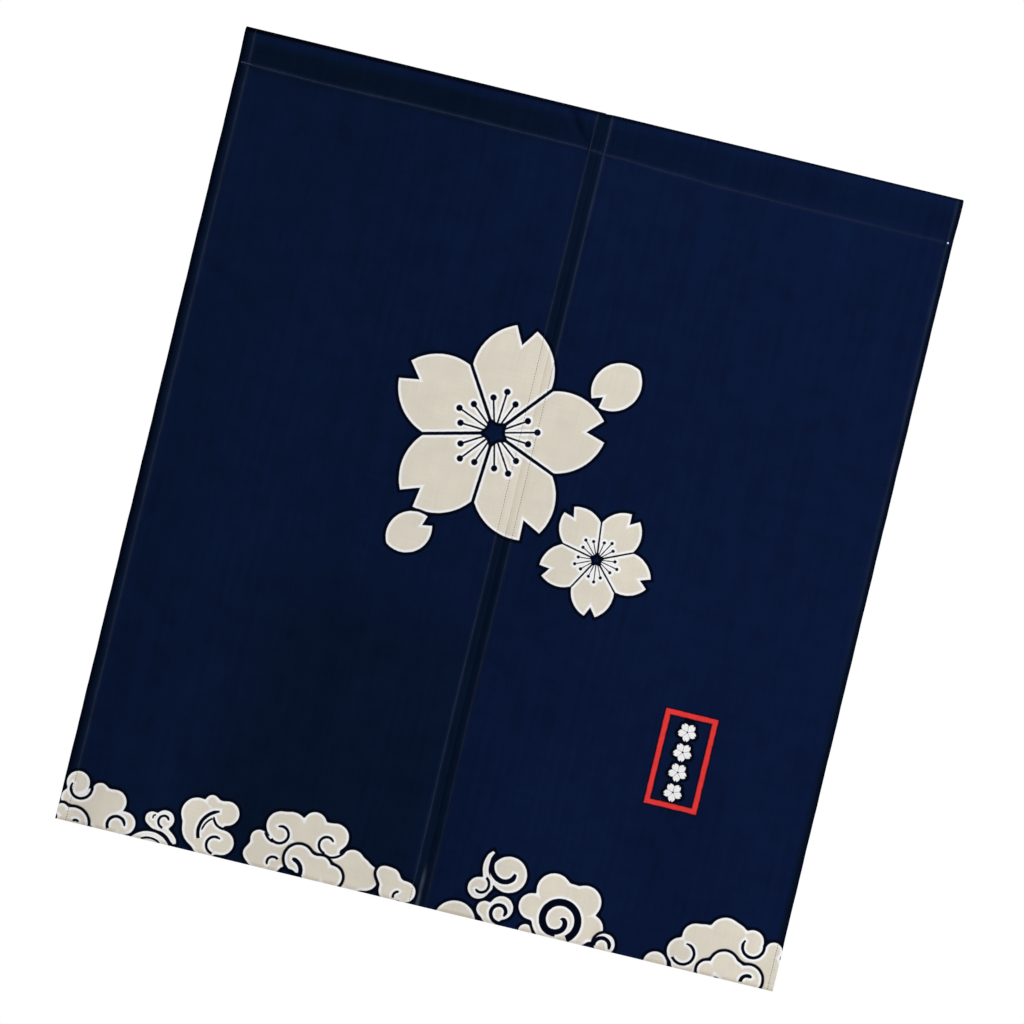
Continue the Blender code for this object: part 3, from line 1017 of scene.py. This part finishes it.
def blossom(place, row, detail=True):
    """The distances to a blossom and to the dark lines in it."""
    flower = dict(zip(BLOSSOM_COLUMNS, row))
    size = flower["radius"]
    local = turned(place, flower["x"], flower["z"], flower["turn"])
    x, y, _ = local.parts()
    sector = 2 * math.pi / PETALS
    angle = x.maths("ARCTAN2", y, x)
    folded = abs(angle.maths("WRAP", angle, sector / 2, -sector / 2))
    away = local.distance((0, 0, 0))
    along, across = away * folded.maths_of("COSINE"), away * folded.maths_of("SINE")
    petals = petal_at(along, across, size)
    beside = along * math.sin(sector / 2) - across * math.cos(sector / 2)
    petals = petals.most(PETAL_GAP * size - beside)
    lines = away - EYE * size
    if detail:
        for degrees, reach in STAMENS:
            turn = math.radians(degrees)
            ahead = along * math.cos(turn) + across * math.sin(turn)
            aside = abs(across * math.cos(turn) - along * math.sin(turn))
            stalk = (aside - STAMEN_WIDTH / 2 * size).most(ahead - reach * size)
            tip = (reach * size * math.cos(turn), reach * size * math.sin(turn), 0)
            arc = across.node("ShaderNodeCombineXYZ", None, {0: along, 1: across})
            lines = lines.least(stalk).least(arc.distance(tip) - ANTHER * size)
    return petals, lines


def large_print(made, place, wander):
    """The design of the two blossoms and the loose petals."""
    for row in (LARGE_BLOSSOM, SMALL_BLOSSOM):
        petals, lines = blossom(place, row)
        made.paint(petals + wander, lines + wander)
    for row in LOOSE_PETALS:
        petal = dict(zip(LOOSE_PETAL_COLUMNS, row))
        x, y, _ = turned(place, petal["x"], petal["z"], petal["turn"]).parts()
        made.paint(petal_at(x, abs(y), petal["length"]) + wander)


# The small print low on the right cloth: an upright frame in red ink, a little uneven, round a
# column of four small blossoms.
FRAME_MIDDLE = (0.2504, -0.677)
FRAME_HALF = (0.0296, 0.0538)
FRAME_LINE = 0.0055
FRAME_OUTLINE = 0.0016
SMALL_BLOSSOMS_X = 0.2496
SMALL_BLOSSOMS_MIDDLE = -0.6785
SMALL_BLOSSOM_PITCH = 0.0228
SMALL_BLOSSOM_RADIUS = 0.0102
SMALL_BLOSSOM_TURN = 54
FRAME_OUTLINE_SOFTNESS = 0.0010
FRAME_SOFTNESS = 0.0014
RAGGED = 0.0016
RAGGED_SCALE = 95.0
RED_SCALE = 160.0
RED_PLAY = 0.5


def framed_print(made, place, wander):
    """The design of the red frame and what it holds."""
    x, path, _ = place.parts()
    ragged = place.cloudy(RAGGED_SCALE, 3.0) * RAGGED
    across = abs(x - FRAME_MIDDLE[0]) - FRAME_HALF[0]
    along = abs(path - FRAME_MIDDLE[1]) - FRAME_HALF[1]
    outward = across.most(along) + wander
    line = abs(outward + FRAME_LINE / 2) - FRAME_LINE / 2 + ragged
    level = path - SMALL_BLOSSOMS_MIDDLE
    repeated = level.maths("WRAP", level, SMALL_BLOSSOM_PITCH, 0.0)
    repeat = place.node("ShaderNodeCombineXYZ", None, {0: x, 1: repeated})
    half = SMALL_BLOSSOM_PITCH / 2
    row = (SMALL_BLOSSOMS_X, half, SMALL_BLOSSOM_RADIUS, SMALL_BLOSSOM_TURN)
    petals, lines = blossom(repeat, row, detail=False)
    column = abs(level) - 2 * SMALL_BLOSSOM_PITCH
    made.paint(petals.most(column) + wander, lines)
    made.outline = made.outline.most((line - FRAME_OUTLINE).inside(FRAME_OUTLINE_SOFTNESS))
    return line.inside(FRAME_SOFTNESS) * (1 + place.cloudy(RED_SCALE, 2.0) * RED_PLAY)


plain = cotton("navy cotton")
large = cotton("blossom print", large_print)
framed = cotton("framed print", framed_print)
for cloth, clouds, side in ((cloth_left, LEFT_CLOUDS, "left"), (cloth_right, RIGHT_CLOUDS, "right")):
    border = cotton(f"cloud border {side}", cloud_border(clouds))
    for material in (plain, border, large, framed):
        cloth.data.materials.append(material)

# The stitches: pale blue-grey cotton thread, sewn down each hem and across the heading. One
# stitch is a short bowed length of thread, whose ends dip into the cloth.
STITCH_PITCH = 0.0031
STITCH_LENGTH = 0.0027
THREAD = 0.00046
STITCH_SIDES = 6
STITCH_BOW = 0.00044
STITCH_ENDS_THIN = 0.45
STITCH_CUTS = 3
THREAD_COLOUR = (0.115, 0.160, 0.275, 1.0)
# How unevenly they are sewn: slant, shift to the side and lift, and how much their tone differs
STITCH_PLAY = (0.035, 0.00006, 0.00002)
TONE_PLAY = 0.06
TONE_WAVE = 0.35
TONE_WAVE_PACE = (38, 9, 5)
THREAD_PROUD = 0.30
# The row of the cloth from which a hem has stitches at its back
BEHIND_FROM = 1.0042

bpy.ops.mesh.primitive_cylinder_add(
    vertices=STITCH_SIDES, radius=THREAD / 2, depth=STITCH_LENGTH, rotation=(0, math.pi / 2, 0)
)
stitch = bpy.context.object
bpy.ops.object.transform_apply(location=True, rotation=True, scale=True)
bpy.ops.object.mode_set(mode="EDIT")
bpy.ops.mesh.select_mode(type="EDGE")
bpy.ops.mesh.select_all(action="DESELECT")
bpy.ops.object.mode_set(mode="OBJECT")
for edge in stitch.data.edges:
    ends = [stitch.data.vertices[i].co.x for i in edge.vertices]
    edge.select = abs(ends[0] - ends[1]) > STITCH_LENGTH / 2
bpy.ops.object.mode_set(mode="EDIT")
bpy.ops.mesh.subdivide(number_cuts=STITCH_CUTS)
for from_middle in (-0.5, -0.25, 0.0, 0.25, 0.5):
    bpy.ops.mesh.select_mode(type="VERT")
    bpy.ops.mesh.select_all(action="DESELECT")
    bpy.ops.object.mode_set(mode="OBJECT")
    place = from_middle * STITCH_LENGTH
    for vertex in stitch.data.vertices:
        vertex.select = abs(vertex.co.x - place) < STITCH_LENGTH / 16
    bpy.ops.object.mode_set(mode="EDIT")
    outness = 2 * abs(from_middle)
    dip = STITCH_BOW * outness**2
    thin = 1 - STITCH_ENDS_THIN * outness**3
    bpy.ops.transform.translate(value=(0, 0, -dip))
    bpy.ops.transform.resize(value=(1, thin, thin))
bpy.ops.object.mode_set(mode="OBJECT")
stitch_points = np.array([vertex.co for vertex in stitch.data.vertices])
stitch_faces = [list(face.vertices) for face in stitch.data.polygons]
bpy.data.objects.remove(stitch, do_unlink=True)


class Sewing:
    """The stitches of one cloth, gathered line by line into one mesh."""

    def __init__(self, seed):
        self.chance = np.random.default_rng(seed)
        self.points, self.faces, self.tones, self.strands = [], [], [], []
        self.count = 0

    def stitch(self, place, along, outward, tone, stretch=1.0):
        """Sets one stitch: its middle, its direction and the way it faces."""
        side = np.cross(outward, along)
        shape = stitch_points * (stretch, 1.0, 1.0)
        turned = shape[:, :1] * along + shape[:, 1:2] * side + shape[:, 2:] * outward
        self.points.append(turned + place)
        self.faces += [[i + self.count for i in face] for face in stitch_faces]
        self.tones += [tone] * len(shape)
        self.strands.append(stitch_points)
        self.count += len(shape)

    def line(self, route, outward, tone):
        """Sews along a route on the cloth's face, with the way that the face looks at each point.
        The tone is that of the thread at the route's start and at its end."""
        steps = np.linalg.norm(np.diff(route, axis=0), axis=1)
        gone = np.concatenate([[0.0], np.cumsum(steps)])
        count = int(gone[-1] / STITCH_PITCH)
        middles = (np.arange(count) + 0.5) * gone[-1] / count
        for middle in middles:
            ends = [
                np.array([np.interp(middle + reach, gone, route[:, i]) for i in range(3)])
                for reach in (-STITCH_LENGTH / 2, STITCH_LENGTH / 2)
            ]
            facing = np.array([np.interp(middle, gone, outward[:, i]) for i in range(3)])
            along = ends[1] - ends[0]
            along /= np.linalg.norm(along)
            facing -= along * (facing @ along)
            facing /= np.linalg.norm(facing)
            side = np.cross(facing, along)
            slant, shift, lift = self.chance.normal(0, STITCH_PLAY)
            place = (ends[0] + ends[1]) / 2 + side * shift
            place = place + facing * (THREAD * THREAD_PROUD + lift)
            along = along + side * slant
            along /= np.linalg.norm(along)
            spot = np.array((middle, route[0, 0], route[0, 2])) * TONE_WAVE_PACE
            wave = (1 + TONE_WAVE * noise.noise(spot)) * self.chance.normal(1, TONE_PLAY)
            self.stitch(place, along, facing, mix(*tone, middle / gone[-1]) * wave)

    def piece(self, name):
        """Makes the mesh of all the stitches."""
        mesh = bpy.data.meshes.new(name)
        mesh.from_pydata(np.concatenate(self.points).tolist(), [], self.faces)
        tone = mesh.attributes.new("tone", "FLOAT", "POINT")
        tone.data.foreach_set("value", np.array(self.tones, np.float32))
        strand = mesh.attributes.new("strand", "FLOAT_VECTOR", "POINT")
        strand.data.foreach_set("vector", np.concatenate(self.strands).astype(np.float32).ravel())
        mesh.shade_smooth()
        sewn = bpy.data.objects.new(name, mesh)
        bpy.context.scene.collection.objects.link(sewn)
        return sewn


def outward_of(route, across):
    """The way a face looks along a route on it, given the direction across the route."""
    along = np.gradient(route, axis=0)
    facing = np.cross(along, across)
    return facing / np.linalg.norm(facing, axis=1)[:, None]


def sew(seed, side, hems, folds, hem_tones, heading_tone):
    """All the stitches of one cloth: down its left and right hems, and along its heading."""
    sewing = Sewing(seed)
    rows = cloth_rows()
    from_edge = (
        np.array([[0.0], [hems[0]["stitches"]], [0.0]]),
        np.array([[1.0], [0.0], [hems[1]["stitches"]]]),
    )
    for columns, tone in zip(from_edge, hem_tones):
        route = lay_out(side, hems, folds, columns, rows)[0][:, 0]
        sewing.line(route, outward_of(route, (1.0, 0.0, 0.0)), tone)
        behind = route[rows > BEHIND_FROM] + (0.0, HEM_THICKNESS, 0.0)
        sewing.line(behind, -outward_of(behind, (1.0, 0.0, 0.0)), tone)
    columns = cloth_columns(hems)
    for row in (1.0, -1.0):
        route = lay_out(side, hems, folds, columns, np.array([row]))[0][0]
        facing = np.tile((0.0, -row, 0.0), (len(route), 1))
        sewing.line(route, facing, heading_tone)
    return sewing


LEFT_TONES = {"hem_tones": ((0.28, 0.24), (0.24, 0.36)), "heading_tone": (0.38, 0.32)}
RIGHT_TONES = {"hem_tones": ((0.38, 0.12), (0.24, 0.06)), "heading_tone": (0.24, 0.14)}
left_sewing = sew(11, **LEFT_CLOTH, **LEFT_TONES)
right_sewing = sew(12, **RIGHT_CLOTH, **RIGHT_TONES)

# The ends of the heading line: stitches sewn twice at the left, and at the right a knot of pale
# thread, wound over itself.
FORWARD = np.array([0.0, -1.0, 0.0])
DOUBLED_STITCHES = 4
DOUBLED_FROM = LEFT_EDGE + 0.00324
DOUBLED_RISE = 0.0003
DOUBLED_SLOPE = -0.05
DOUBLED_TONE = 0.8
KNOT_X = RIGHT_EDGE - 0.0045
KNOT_TURNS = 9
KNOT_TURN = math.pi * 0.618
KNOT_LAYERS = 4
KNOT_LAYER = 0.00012
KNOT_TONE = 5.2
KNOT_STRETCH = 0.85
END_LIFT = 0.0004

for i in range(DOUBLED_STITCHES):
    x = DOUBLED_FROM + i * STITCH_PITCH
    place = np.array([x, -HEM_THICKNESS - END_LIFT, -heading_drop(x) + DOUBLED_RISE])
    left_sewing.stitch(place, np.array([1.0, 0.0, DOUBLED_SLOPE]), FORWARD, DOUBLED_TONE)
for i in range(KNOT_TURNS):
    along = np.array([math.cos(i * KNOT_TURN), 0.0, math.sin(i * KNOT_TURN)])
    lift = END_LIFT + KNOT_LAYER * (i % KNOT_LAYERS)
    place = np.array([KNOT_X, -HEM_THICKNESS - lift, -heading_drop(KNOT_X)])
    right_sewing.stitch(place, along, FORWARD, KNOT_TONE, KNOT_STRETCH)

# The thread itself: two-ply cotton, so it has a fine twist and a little fuzz
TWIST_PITCH = 0.0004
TWIST_SLANT = 0.8
FUZZ_SCALE = 2600.0
TWIST_TONE = 0.12
FUZZ_TONE = 0.25
TWIST_RELIEF = 0.5
TWIST_DEPTH = 0.00006
TWIST_STRENGTH = 0.5
THREAD_ROUGHNESS = 0.75
THREAD_GLOSS = 0.12

cotton_thread = bpy.data.materials.new("sewing thread")
cotton_thread.use_nodes = True
cotton_thread.node_tree.nodes.clear()
yarn = Dye(cotton_thread.node_tree)
tone = yarn.node("ShaderNodeAttribute", {"attribute_name": "tone"}, output=2)
strand = yarn.node("ShaderNodeAttribute", {"attribute_name": "strand"}, output=1)
along, across, _ = strand.parts()
twist = ((along + across * TWIST_SLANT) * (2 * math.pi / TWIST_PITCH)).maths_of("SINE")
fuzz = yarn.node("ShaderNodeTexCoord", output=3).cloudy(FUZZ_SCALE, 2.0)
pale_blue = yarn.node("ShaderNodeRGB")
pale_blue.socket.default_value = THREAD_COLOUR
colour = pale_blue.scaled(tone * (1 + twist * TWIST_TONE + fuzz * FUZZ_TONE))
height = twist * TWIST_RELIEF + fuzz
sockets = {"Height": height, "Strength": TWIST_STRENGTH, "Distance": TWIST_DEPTH}
twisted = yarn.node("ShaderNodeBump", None, sockets)
finish = {
    "Base Color": colour,
    "Roughness": THREAD_ROUGHNESS,
    "Specular IOR Level": THREAD_GLOSS,
    "Normal": twisted,
}
shader = yarn.node("ShaderNodeBsdfPrincipled", None, finish)
yarn.node("ShaderNodeOutputMaterial", None, {"Surface": shader})

stitches_left = left_sewing.piece("stitches_left")
stitches_right = right_sewing.piece("stitches_right")
for stitches in (stitches_left, stitches_right):
    stitches.data.materials.append(cotton_thread)
    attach(stitches, "root")

# The cloths as they were cut: each hem takes twice its width, and the heading is turned over with
# a narrow edge folded in.
TURNED_IN = 0.008
LEFT_CUT = {"hung_width": 0.4077, "turned_down": 0.0400}
RIGHT_CUT = {"hung_width": 0.4063, "turned_down": 0.0475}


def cut_size(hems, hung_width, turned_down):
    """The flat size of a cloth before it was sewn."""
    width = hung_width + 2 * hems[0]["width"] + 2 * hems[1]["width"]
    return width, DROP + turned_down + SEAM_ALLOWANCE + TURNED_IN


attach(cloth_left, "root")
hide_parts("panel_left", "rod_pocket_left")
left_size = cut_size(LEFT_CLOTH["hems"], **LEFT_CUT)

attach(cloth_right, "root")
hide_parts("panel_right", "rod_pocket_right")
right_size = cut_size(RIGHT_CLOTH["hems"], **RIGHT_CUT)
